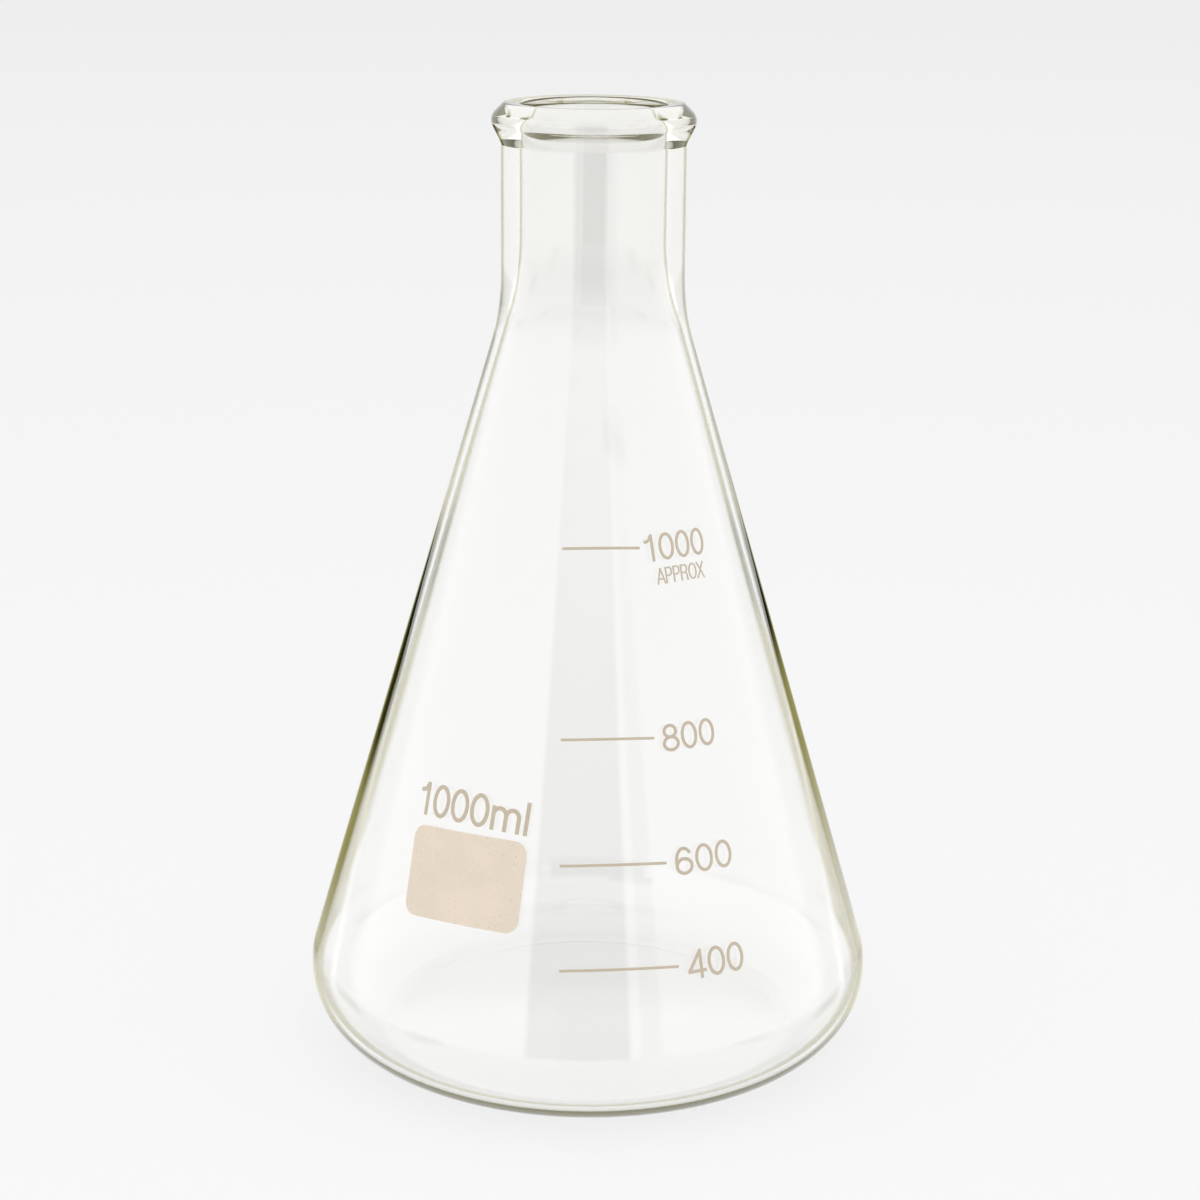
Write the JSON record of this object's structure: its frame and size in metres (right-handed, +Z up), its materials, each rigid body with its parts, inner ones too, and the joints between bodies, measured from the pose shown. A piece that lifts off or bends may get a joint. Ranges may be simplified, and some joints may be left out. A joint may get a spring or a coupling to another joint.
{
  "type": "erlenmeyer flask",
  "caption": "Conical glass laboratory flask with a narrow cylindrical neck, a beaded rim, printed graduation lines and a marking spot, for mixing and heating liquids.",
  "frame": {"origin": "on the axis of the flask, in the plane of the bench that it stands on", "axes": "+Z up along the axis of the neck and the cone; -Y towards the printed graduation; +X to the right of someone who reads it"},
  "size_m": [0.131, 0.131, 0.218],
  "materials": {
    "borosilicate_glass": "clear, fire polished",
    "printed_enamel": "fired enamel print, satin"
  },
  "bodies": {
    "root": {"flask": "borosilicate_glass", "graduation_1000": "printed_enamel", "graduation_800": "printed_enamel", "graduation_600": "printed_enamel", "graduation_400": "printed_enamel", "marking_spot": "printed_enamel"}
  },
  "joints": []
}
